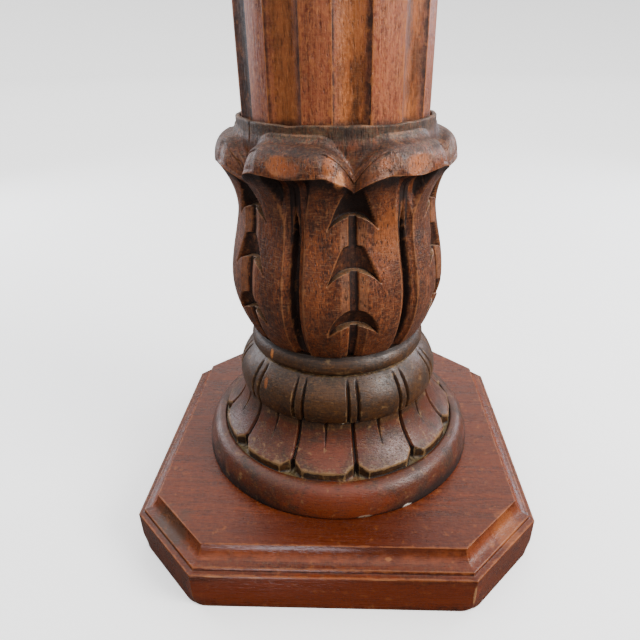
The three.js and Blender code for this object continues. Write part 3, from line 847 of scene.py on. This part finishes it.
def add_node(tree, kind, inputs=(), **settings):
    made = tree.nodes.new(kind)
    for name, value in settings.items():
        setattr(made, name, value)
    for key, value in dict(inputs).items():
        if isinstance(value, bpy.types.NodeSocket):
            tree.links.new(value, made.inputs[key])
        else:
            made.inputs[key].default_value = value
    return made


def sums(tree, operation, first, second=0.0):
    return add_node(tree, "ShaderNodeMath", {0: first, 1: second}, operation=operation).outputs[0]


def remap(tree, value, low, high, new_low=0.0, new_high=1.0):
    inputs = {"Value": value, "From Min": low, "From Max": high, "To Min": new_low, "To Max": new_high}
    return add_node(tree, "ShaderNodeMapRange", inputs, interpolation_type="SMOOTHSTEP").outputs["Result"]


def colour_mix(tree, share, under, over):
    return add_node(tree, "ShaderNodeMix", {0: share, 6: under, 7: over}, data_type="RGBA").outputs[2]


def noise(tree, place, scale, detail=3.0, roughness=0.55, distortion=0.0):
    inputs = {"Vector": place, "Scale": scale, "Detail": detail, "Roughness": roughness}
    inputs["Distortion"] = distortion
    return add_node(tree, "ShaderNodeTexNoise", inputs).outputs["Fac"]


def stain(code):
    """Linear colour of a hexadecimal sRGB code."""
    parts = [int(code[place:place + 2], 16) / 255 for place in (0, 2, 4)]
    linear = [part / 12.92 if part <= 0.04045 else ((part + 0.055) / 1.055) ** 2.4 for part in parts]
    return (*linear, 1)


def new_group(name, inputs, outputs):
    tree = bpy.data.node_groups.new(name, "ShaderNodeTree")
    for label, kind in inputs.items():
        tree.interface.new_socket(name=label, in_out="INPUT", socket_type=kind)
    for label in outputs:
        tree.interface.new_socket(name=label, in_out="OUTPUT", socket_type="NodeSocketFloat")
    start = tree.nodes.new("NodeGroupInput")
    end = tree.nodes.new("NodeGroupOutput")
    return tree, start, end


def vector_sum(tree, operation, first, second):
    return add_node(tree, "ShaderNodeVectorMath", {0: first, 1: second}, operation=operation).outputs[0]


def grain_group():
    """Streaks, pores and light flecks of the wood, running along Z of the place it is given, and light
    scratches across them."""
    outputs = ["Figure", "Pores", "Flecks", "Scratches"]
    tree, start, end = new_group("Wood grain", {"Place": "NodeSocketVector"}, outputs)
    place = start.outputs["Place"]
    streak_place = vector_sum(tree, "MULTIPLY", place, (1, 1, 0.06))
    dash_place = vector_sum(tree, "MULTIPLY", place, (1, 1, 0.14))
    fleck_place = vector_sum(tree, "MULTIPLY", place, (1, 1, 0.3))
    scratch_place = vector_sum(tree, "MULTIPLY", place, (0.12, 0.12, 1))
    broad = noise(tree, streak_place, 110, 4, 0.6, 0.6)
    fine = noise(tree, streak_place, 620, 3, 0.65)
    figure = sums(tree, "ADD", sums(tree, "MULTIPLY", broad, 0.5), sums(tree, "MULTIPLY", fine, 0.5))
    dashes = noise(tree, dash_place, 1300, 2, 0.6)
    flecks = noise(tree, fleck_place, 760, 3, 0.7)
    scratches = noise(tree, scratch_place, 1700, 2, 0.6)
    tree.links.new(remap(tree, figure, 0.38, 0.62), end.inputs["Figure"])
    tree.links.new(remap(tree, dashes, 0.56, 0.68), end.inputs["Pores"])
    tree.links.new(remap(tree, flecks, 0.52, 0.7), end.inputs["Flecks"])
    tree.links.new(remap(tree, scratches, 0.5, 0.72), end.inputs["Scratches"])
    return tree


def mottle_group():
    """Uneven take-up of the stain: broad patches, dark blotches along the grain and a fine speckle."""
    inputs = {"Place": "NodeSocketVector", "Scale": "NodeSocketFloat"}
    tree, start, end = new_group("Stain mottle", inputs, ["Patches", "Blotches", "Speckle"])
    place = start.outputs["Place"]
    scale = start.outputs["Scale"]
    long_place = vector_sum(tree, "MULTIPLY", place, (1, 1, 0.22))
    patches = noise(tree, place, scale, 5, 0.62, 0.4)
    blotches = noise(tree, long_place, sums(tree, "MULTIPLY", scale, 1.2), 7, 0.7, 0.3)
    blotches = sums(tree, "ADD", blotches, sums(tree, "MULTIPLY", patches, 0.5))
    speckle = noise(tree, place, sums(tree, "MULTIPLY", scale, 11), 3, 0.7)
    tree.links.new(remap(tree, patches, 0.36, 0.64), end.inputs["Patches"])
    tree.links.new(remap(tree, blotches, 0.64, 0.88), end.inputs["Blotches"])
    tree.links.new(remap(tree, speckle, 0.36, 0.66), end.inputs["Speckle"])
    return tree


def broken_group():
    """Breaks a smooth mask up into patches with ragged edges."""
    inputs = {
        "Place": "NodeSocketVector",
        "Mask": "NodeSocketFloat",
        "Scale": "NodeSocketFloat",
        "Ragged": "NodeSocketFloat",
    }
    tree, start, end = new_group("Ragged mask", inputs, ["Mask"])
    rough = noise(tree, start.outputs["Place"], start.outputs["Scale"], 4, 0.65)
    shift = sums(tree, "MULTIPLY", sums(tree, "SUBTRACT", rough, 0.5), start.outputs["Ragged"])
    ragged = remap(tree, sums(tree, "ADD", start.outputs["Mask"], shift), 0.25, 0.75)
    tree.links.new(ragged, end.inputs["Mask"])
    return tree


def spot_group():
    """One mark on the wood: 1 within its reach from the centre, with a ragged edge."""
    inputs = {"Place": "NodeSocketVector", "Centre": "NodeSocketVector", "Reach": "NodeSocketVector"}
    tree, start, end = new_group("Spot", inputs, ["Mask"])
    apart = vector_sum(tree, "SUBTRACT", start.outputs["Place"], start.outputs["Centre"])
    apart = vector_sum(tree, "DIVIDE", apart, start.outputs["Reach"])
    away = add_node(tree, "ShaderNodeVectorMath", {0: apart}, operation="LENGTH").outputs["Value"]
    rough = noise(tree, start.outputs["Place"], 160, 4, 0.6)
    away = sums(tree, "ADD", away, sums(tree, "MULTIPLY", sums(tree, "SUBTRACT", rough, 0.5), 1.0))
    tree.links.new(remap(tree, away, 0.6, 1.05, 1, 0), end.inputs["Mask"])
    return tree


BLOTCH_COLOUR = "1a0c06"
SCRATCH_COLOUR = "946848"
GRIME_AND_SHADE_COLOUR = "100604"
PORE_COLOUR = "180804"
RELIEF_HEIGHT = 0.0003
GRAIN = grain_group()
MOTTLE = mottle_group()
BROKEN = broken_group()
SPOT = spot_group()


def place_group(tree, group, **inputs):
    return add_node(tree, "ShaderNodeGroup", inputs, node_tree=group).outputs


def broken(tree, place, mask, scale, ragged):
    return place_group(tree, BROKEN, Place=place, Mask=mask, Scale=scale, Ragged=ragged)["Mask"]


def scaled(tree, value, factor):
    return sums(tree, "MULTIPLY", value, factor)


def stained_wood(name, stains, film, ledge, bare, blotch, rub=0.4, gloss=0.35, shine=0.3, pores=0.55,
                 flecks=0.5, scratches=0.1, relief=0.3, edge="a86432", grain_turn=(0, 0, 0), marks=()):
    """Stained and varnished wood with rubbed edges, grime and painted shade in the hollows and a dull film of
    dirt. The film, the ledge dust and the bare wood are each (colour, share); on the plinth the bare colour
    is a painted highlight on the cove. blotch is the share of dark blotches on plain wood and where the ledge
    colour lies. edge is the colour of rubbed edges. Each mark is (centre, reach, colour, share), with centre
    and reach in millimetres."""
    deep, middle, bright, fiery = [stain(code) for code in stains]
    material = bpy.data.materials.new(name)
    material.use_nodes = True
    tree = material.node_tree
    shader = tree.nodes["Principled BSDF"]
    here = add_node(tree, "ShaderNodeTexCoord").outputs["Object"]
    along = add_node(tree, "ShaderNodeMapping", {"Vector": here, "Rotation": grain_turn}).outputs["Vector"]
    carving = add_node(tree, "ShaderNodeAttribute", attribute_name="carving")
    parts = add_node(tree, "ShaderNodeSeparateColor", {"Color": carving.outputs["Color"]}).outputs
    grain = place_group(tree, GRAIN, Place=along)
    uneven = place_group(tree, MOTTLE, Place=along, Scale=45.0)
    dull = broken(tree, along, film[1], 70.0, 1.6)
    rubbed = broken(tree, here, parts["Red"], 150.0, 3.0)
    grime_and_shade = broken(tree, here, parts["Green"], 110.0, 0.7)
    dust = broken(tree, here, parts["Blue"], 420.0, 1.5)
    worn = broken(tree, here, carving.outputs["Alpha"], 140.0, 0.9)
    dark = sums(tree, "ADD", scaled(tree, parts["Blue"], blotch[1]), blotch[0])
    layers = [
        (grain["Figure"], 0.7, bright),
        (uneven["Speckle"], 0.35, fiery),
        # Bare wood, and on the plinth's cove a painted highlight
        (worn, bare[1], stain(bare[0])),
        (dull, 0.8, stain(film[0])),
        (dust, ledge[1], stain(ledge[0])),
        (grain["Flecks"], flecks, fiery),
        (uneven["Blotches"], dark, stain(BLOTCH_COLOUR)),
        (grain["Scratches"], scratches, stain(SCRATCH_COLOUR)),
        # Grime and painted shade from the grime place of the carving
        (grime_and_shade, 0.9, stain(GRIME_AND_SHADE_COLOUR)),
    ]
    for centre, reach, colour, share in marks:
        size = Vector(reach) * MM
        spot = place_group(tree, SPOT, Place=here, Centre=Vector(centre) * MM, Reach=size)["Mask"]
        layers.append((spot, share, stain(colour)))
    layers += [(grain["Pores"], pores, stain(PORE_COLOUR)), (rubbed, rub, stain(edge))]
    base = colour_mix(tree, uneven["Patches"], deep, middle)
    for mask, share, colour in layers:
        base = colour_mix(tree, scaled(tree, mask, share), base, colour)
    tree.links.new(base, shader.inputs["Base Color"])
    shader.inputs["Specular IOR Level"].default_value = shine
    rough = sums(tree, "ADD", scaled(tree, grain["Figure"], 0.1), gloss)
    rough = sums(tree, "ADD", rough, scaled(tree, dull, 0.2))
    rough = sums(tree, "ADD", rough, scaled(tree, grime_and_shade, 0.25))
    tree.links.new(rough, shader.inputs["Roughness"])
    height = sums(tree, "SUBTRACT", scaled(tree, grain["Figure"], 0.7), grain["Pores"])
    height = sums(tree, "ADD", height, scaled(tree, uneven["Speckle"], 0.25))
    bump = add_node(tree, "ShaderNodeBump", {"Strength": relief, "Distance": RELIEF_HEIGHT, "Height": height})
    tree.links.new(bump.outputs["Normal"], shader.inputs["Normal"])
    return material


LENGTHWISE = (0, math.radians(90), 0)
BOARD_STAINS = ("300b03", "481503", "622606", "6c2e08")
FOOT_STAINS = ("1e1008", "321c0c", "4a2c12", "603c18")
LEAF_STAINS = ("240c08", "421a0e", "6e3618", "a0562a")
SHAFT_STAINS = ("4e1e14", "803822", "ac6040", "c87c4c")
CAPITAL_STAINS = ("3a160a", "56220a", "783a10", "864410")
# Marks that the photograph shows: centre, reach, colour and share
CUP_MARKS = [
    ((-32, -76, 289), (7, 9, 6.5), "a05424", 0.6),
    ((-25, -79, 287), (8, 9, 5), "8c441c", 0.5),
    ((49, -67, 287), (6, 8, 7), "a05624", 0.55),
    ((53, -64, 289), (6, 8, 6), "a85c28", 0.5),
    ((31, -75, 290), (4, 6, 4), "8c4a20", 0.7),
    ((-2, -80, 288), (4, 7, 8), "a05624", 0.6),
    ((4, -79, 281), (4, 6, 6), "bc7644", 0.8),
    ((14, -72, 298), (8, 7, 6), "7a3810", 0.6),
    # Painted highlight on the upper right of the front leaf
    ((34, -63, 243), (12, 10, 22), "96501c", 0.45),
]
FOOT_MARKS = [
    ((-47, -49, 147), (1.6, 3, 5), "b06a30", 0.9),
    ((-52, -57, 128), (2, 3, 9), "8a4a14", 0.7),
    ((54, -98, 46), (4.5, 4, 2), "e8e4d8", 0.95),
    ((22, -110, 46.5), (7, 4, 1.3), "b0a890", 0.8),
    ((6, -77, 104), (1.3, 3, 1.2), "d8d0b8", 0.9),
    ((5, -106, 56), (46, 22, 16), "702a0c", 0.5),
    ((-6, -88, 84), (20, 12, 16), "702e16", 0.45),
]
PLINTH_MARKS = [
    # Painted shadow of the column on the plinth top in front of the foot
    ((5, -124, 45), (95, 24, 10), "3a1002", 0.55),
    ((0, -150, 16), (150, 8, 18), "782c06", 0.45),
    ((38, -139, 38), (3, 3, 1.5), "a0683c", 0.4),
    ((-80, -150, 31.2), (10, 1, 0.7), "a87850", 0.6),
    ((-52, -150, 30.8), (6, 1, 0.7), "a87850", 0.5),
    ((34, -150, 31.2), (12, 1, 0.6), "a87850", 0.5),
    ((97, -150, 18), (1, 1, 12), "b08860", 0.6),
    ((114, -124, 38), (5, 5, 3), "a8683c", 0.45),
    ((124, -114, 39), (7, 7, 3), "a06038", 0.5),
    ((132, -105, 40), (3, 3, 2), "b88050", 0.5),
    ((126, -110, 38), (16, 16, 12), "8a4c24", 0.55),
    ((-120, -114, 39), (24, 24, 9), "38281c", 0.75),
]
woods = {
    # The plinth's bare colour is the painted highlight on its cove
    "plinth": stained_wood(
        "Plinth stain", BOARD_STAINS, ("2c1408", 0.1), ("5a4a34", 0.4), ("8a4422", 0.6), (0.25, 0),
        rub=0.26, gloss=0.25, pores=0.3, grain_turn=LENGTHWISE, marks=PLINTH_MARKS),
    "foot": stained_wood(
        "Foot stain", FOOT_STAINS, ("1c150c", 0.4), ("7a6a48", 0.6), ("501e0e", 0.75), (0.25, 0),
        rub=0.32, gloss=0.3, shine=0.38, pores=0.5, flecks=0.7, scratches=0.08, edge="a07c50",
        grain_turn=LENGTHWISE, marks=FOOT_MARKS),
    "leaf_cup": stained_wood(
        "Leaf stain", LEAF_STAINS, ("1e120c", 0.3), ("6a5a42", 0.7), ("9a6444", 0.45), (0.5, 0),
        rub=0.38, shine=0.42, pores=0.85, flecks=0.85, scratches=0.45, relief=0.8, edge="a46c42",
        marks=CUP_MARKS),
    "fluted_shaft": stained_wood(
        "Shaft stain", SHAFT_STAINS, ("3a1c10", 0.1), ("a8601c", 0.4), ("7a3414", 0.5), (0.2, 0.66),
        rub=0.6, shine=0.36, pores=0.45, flecks=0.65, scratches=0.25, relief=0.6),
    "capital": stained_wood(
        "Capital stain", CAPITAL_STAINS, ("26160c", 0.25), ("5a4a34", 0.2), ("7a3414", 0.5), (0.3, 0)),
    "top_board": stained_wood(
        "Top board stain", BOARD_STAINS, ("2c1408", 0.1), ("5a4a34", 0.3), ("7a3414", 0.5), (0.3, 0),
        rub=0.3, gloss=0.25, grain_turn=LENGTHWISE),
}
for node, wood in woods.items():
    pieces[node].data.materials.append(wood)


# Floor, light and camera

FLOOR_RADIUS = 6.0
SWEEP_RADIUS = 2.5
FLOOR_BOUNCE = (0.1, 0.09, 0.085, 1)
FLOOR_SEEN = (0.95, 0.95, 0.95, 1)
FLOOR_GLOW = 0.5
BRIGHT_SIDE = (0.2, 0.3, 0.9)
SURROUND_DIM = 0.1
SURROUND_BRIGHT = 2.4
SURROUND_SEEN = 1.7
BASE_AIM = (0, 0, 0.2)


def make_floor():
    """A round floor that sweeps up far away from the pedestal, so that no horizon shows. It looks pale to the
    camera and throws little light back at the pedestal."""
    sheet = bmesh.new()
    bmesh.ops.create_grid(sheet, x_segments=96, y_segments=48, size=1)
    for vert in sheet.verts:
        angle = math.pi * vert.co.x
        run = (vert.co.y + 1) / 2 * (FLOOR_RADIUS + SWEEP_RADIUS * math.pi / 2)
        turn = max(0, run - FLOOR_RADIUS) / SWEEP_RADIUS
        radius = min(run, FLOOR_RADIUS) + SWEEP_RADIUS * math.sin(turn)
        vert.co = (radius * math.cos(angle), radius * math.sin(angle), SWEEP_RADIUS * (1 - math.cos(turn)))
    bmesh.ops.remove_doubles(sheet, verts=sheet.verts, dist=1e-5)
    bmesh.ops.recalc_face_normals(sheet, faces=sheet.faces)
    for face in sheet.faces:
        face.smooth = True
    mesh = bpy.data.meshes.new("pale_floor")
    sheet.to_mesh(mesh)
    sheet.free()
    floor = bpy.data.objects.new("pale_floor", mesh)
    bpy.context.collection.objects.link(floor)
    paint = bpy.data.materials.new("Pale floor")
    paint.use_nodes = True
    tree = paint.node_tree
    shader = tree.nodes["Principled BSDF"]
    seen = add_node(tree, "ShaderNodeLightPath").outputs["Is Camera Ray"]
    shade = colour_mix(tree, seen, FLOOR_BOUNCE, FLOOR_SEEN)
    tree.links.new(shade, shader.inputs["Base Color"])
    shader.inputs["Emission Color"].default_value = (1, 1, 1, 1)
    tree.links.new(scaled(tree, seen, FLOOR_GLOW), shader.inputs["Emission Strength"])
    shader.inputs["Roughness"].default_value = 0.9
    mesh.materials.append(paint)


def soft_light(name, place, aim, size, power, colour, sheen_on=None):
    """A round studio light. One for the sheen on a piece shines in the polish of that piece alone."""
    lamp = bpy.data.lights.new(name, "AREA")
    lamp.shape = "DISK"
    lamp.size = size
    lamp.energy = power
    lamp.color = colour
    light = bpy.data.objects.new(name, lamp)
    light.location = place
    light.rotation_euler = (Vector(aim) - Vector(place)).to_track_quat("-Z", "Y").to_euler()
    bpy.context.collection.objects.link(light)
    if sheen_on:
        light.visible_diffuse = False
        light.visible_camera = False
        polished = bpy.data.collections.new(name)
        polished.objects.link(sheen_on)
        light.light_linking.receiver_collection = polished


def make_world():
    """A white surround: bright behind, above and at the sides, dimmer behind the camera. The camera itself
    sees it as pale as the floor."""
    world = bpy.data.worlds.new("Studio")
    world.use_nodes = True
    tree = world.node_tree
    sky = tree.nodes["Background"]
    towards = add_node(tree, "ShaderNodeTexCoord").outputs["Generated"]
    facing = {0: towards, 1: BRIGHT_SIDE}
    bright_side = add_node(tree, "ShaderNodeVectorMath", facing, operation="DOT_PRODUCT").outputs["Value"]
    light = remap(tree, bright_side, -0.45, 0.9, SURROUND_DIM, SURROUND_BRIGHT)
    seen = add_node(tree, "ShaderNodeLightPath").outputs["Is Camera Ray"]
    light = add_node(tree, "ShaderNodeMix", {0: seen, 2: light, 3: SURROUND_SEEN}).outputs[0]
    tree.links.new(light, sky.inputs["Strength"])
    sky.inputs["Color"].default_value = (1, 1, 1, 1)
    bpy.context.scene.world = world


# The camera as found from the plinth, the foot and the shaft in the photograph
FOCAL_PIXELS = 542.55
PICTURE_PIXELS = 640
VIEW_SIDE = math.radians(1.775)
VIEW_DOWN = math.radians(27.68)
VIEW_ROLL = math.radians(-0.406)
VIEW_SHIFT_PIXELS = 17.36
EYE = Vector((12.14, -391.79, 355.03)) * MM


def make_camera():
    lens = bpy.data.cameras.new("Camera")
    lens.sensor_width = 36
    lens.lens = lens.sensor_width * FOCAL_PIXELS / PICTURE_PIXELS
    lens.shift_x = -VIEW_SHIFT_PIXELS / PICTURE_PIXELS
    lens.clip_start = 0.01
    camera = bpy.data.objects.new("Camera", lens)
    right = Vector((math.cos(VIEW_SIDE), math.sin(VIEW_SIDE), 0))
    back = Vector((
        math.sin(VIEW_SIDE) * math.cos(VIEW_DOWN),
        -math.cos(VIEW_SIDE) * math.cos(VIEW_DOWN),
        math.sin(VIEW_DOWN),
    ))
    upright = Matrix((right, back.cross(right), back)).transposed()
    turned = upright @ Matrix.Rotation(VIEW_ROLL, 3, "Z")
    camera.matrix_world = Matrix.Translation(EYE) @ turned.to_4x4()
    bpy.context.collection.objects.link(camera)
    bpy.context.scene.camera = camera


make_floor()
make_world()
soft_light("left_softbox", (-1.2, 0.65, 0.55), BASE_AIM, 0.8, 9.5, (0.88, 0.91, 1))
soft_light("right_softbox", (1.3, -0.6, 1.0), BASE_AIM, 0.8, 32, (1, 0.97, 0.94))
soft_light("right_rim_softbox", (1.2, 0.8, 0.6), BASE_AIM, 0.6, 9, (0.8, 0.86, 1))
soft_light("low_front_softbox", (-0.05, -0.26, 0.004), (-0.05, -0.26, 1), 0.14, 0.6, (0.84, 0.88, 1),
           pieces["plinth"])
make_camera()
